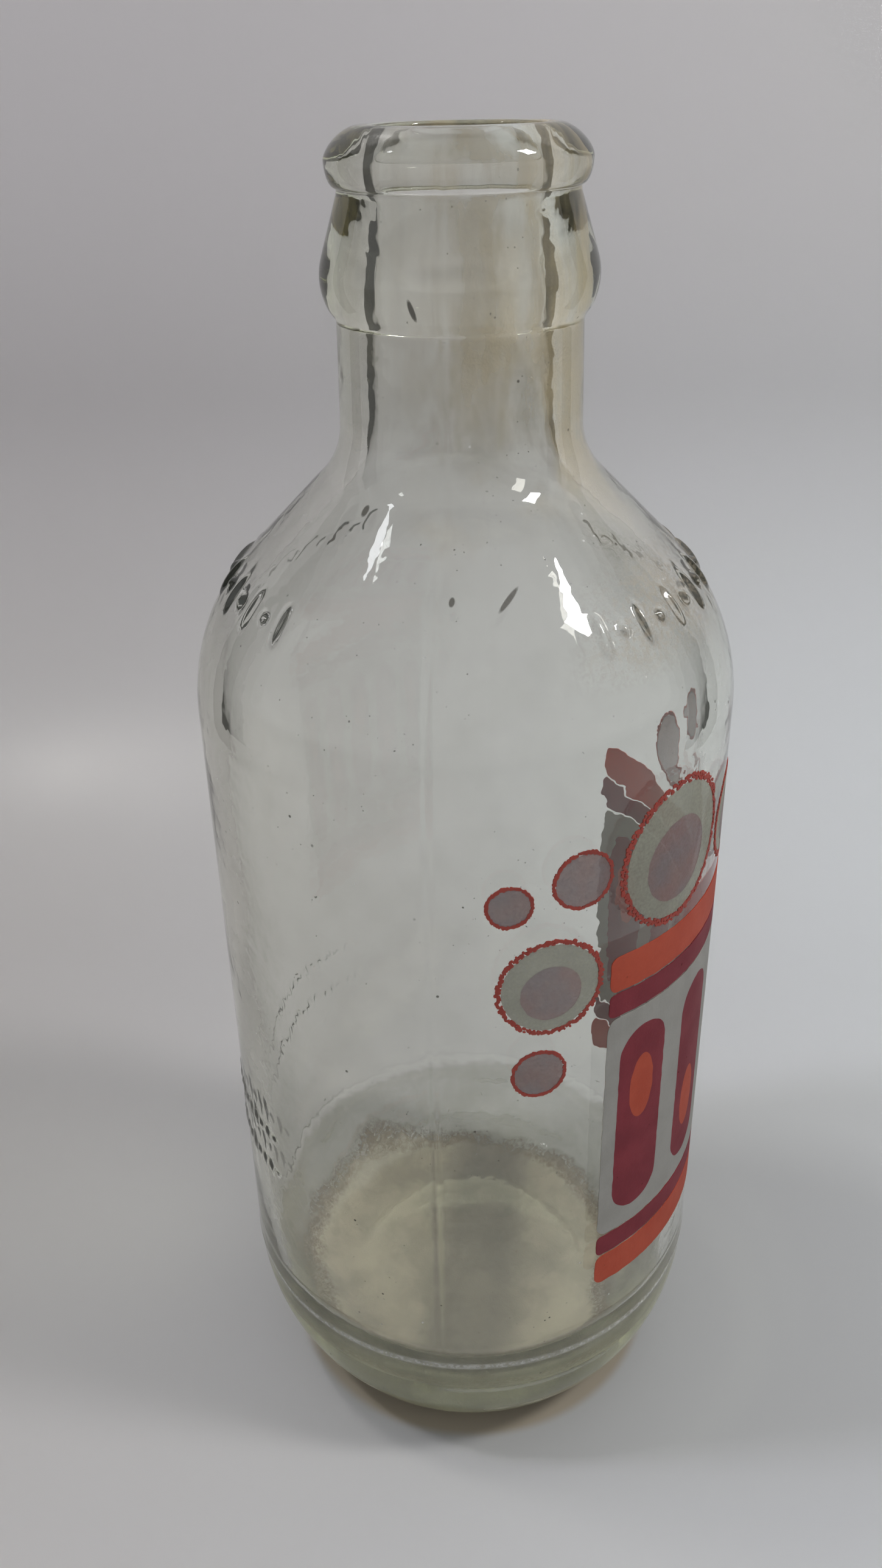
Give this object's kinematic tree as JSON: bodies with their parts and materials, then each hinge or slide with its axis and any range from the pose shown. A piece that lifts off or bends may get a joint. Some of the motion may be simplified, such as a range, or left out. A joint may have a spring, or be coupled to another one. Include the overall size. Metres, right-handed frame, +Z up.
{
  "type": "soda bottle",
  "caption": "Clear pressed-glass returnable soda bottle with crown-cap finish, round shoulder and fired enamel label of bands, lozenges and bubbles; stands on a flat bearing ring.",
  "frame": {"origin": "centre of the base, on the plane that the bottle stands on", "axes": "+Z up along the bottle's axis, towards the mouth; the label faces -Y; the mould seams are at -X and +X"},
  "size_m": [0.0628, 0.0633, 0.1622],
  "materials": {
    "clear_glass": "clear, faintly green, scuffed",
    "white_enamel": "fired enamel, satin",
    "orange_enamel": "fired enamel, satin",
    "crimson_enamel": "fired enamel, satin",
    "red_enamel": "fired enamel, stippled",
    "pale_enamel": "thin fired enamel, translucent",
    "mauve_enamel": "thin fired enamel, translucent"
  },
  "bodies": {
    "root": {"bubble_core_1": "mauve_enamel", "bubble_core_2": "mauve_enamel", "bubble_core_3": "mauve_enamel", "bubble_core_4": "mauve_enamel", "bubble_core_5": "mauve_enamel", "bubble_core_6": "mauve_enamel", "bubble_core_7": "mauve_enamel", "bubble_core_8": "mauve_enamel", "bubble_halo_1": "pale_enamel", "bubble_halo_2": "pale_enamel", "bubble_halo_6": "pale_enamel", "bubble_rim_1": "red_enamel", "bubble_rim_2": "red_enamel", "bubble_rim_3": "red_enamel", "bubble_rim_4": "red_enamel", "bubble_rim_5": "red_enamel", "bubble_rim_6": "red_enamel", "bubble_rim_7": "red_enamel", "bubble_rim_8": "red_enamel", "crimson_lozenge_1": "crimson_enamel", "crimson_lozenge_2": "crimson_enamel", "crimson_lozenge_3": "crimson_enamel", "crimson_lozenge_4": "crimson_enamel", "crimson_lozenge_5": "crimson_enamel", "glass_bottle": "clear_glass", "lower_crimson_band": "crimson_enamel", "lower_orange_band": "orange_enamel", "orange_oval_1": "orange_enamel", "orange_oval_2": "orange_enamel", "orange_oval_3": "orange_enamel", "orange_oval_4": "orange_enamel", "orange_oval_5": "orange_enamel", "upper_crimson_band": "crimson_enamel", "upper_orange_band": "orange_enamel", "white_panel": "white_enamel"}
  },
  "joints": []
}
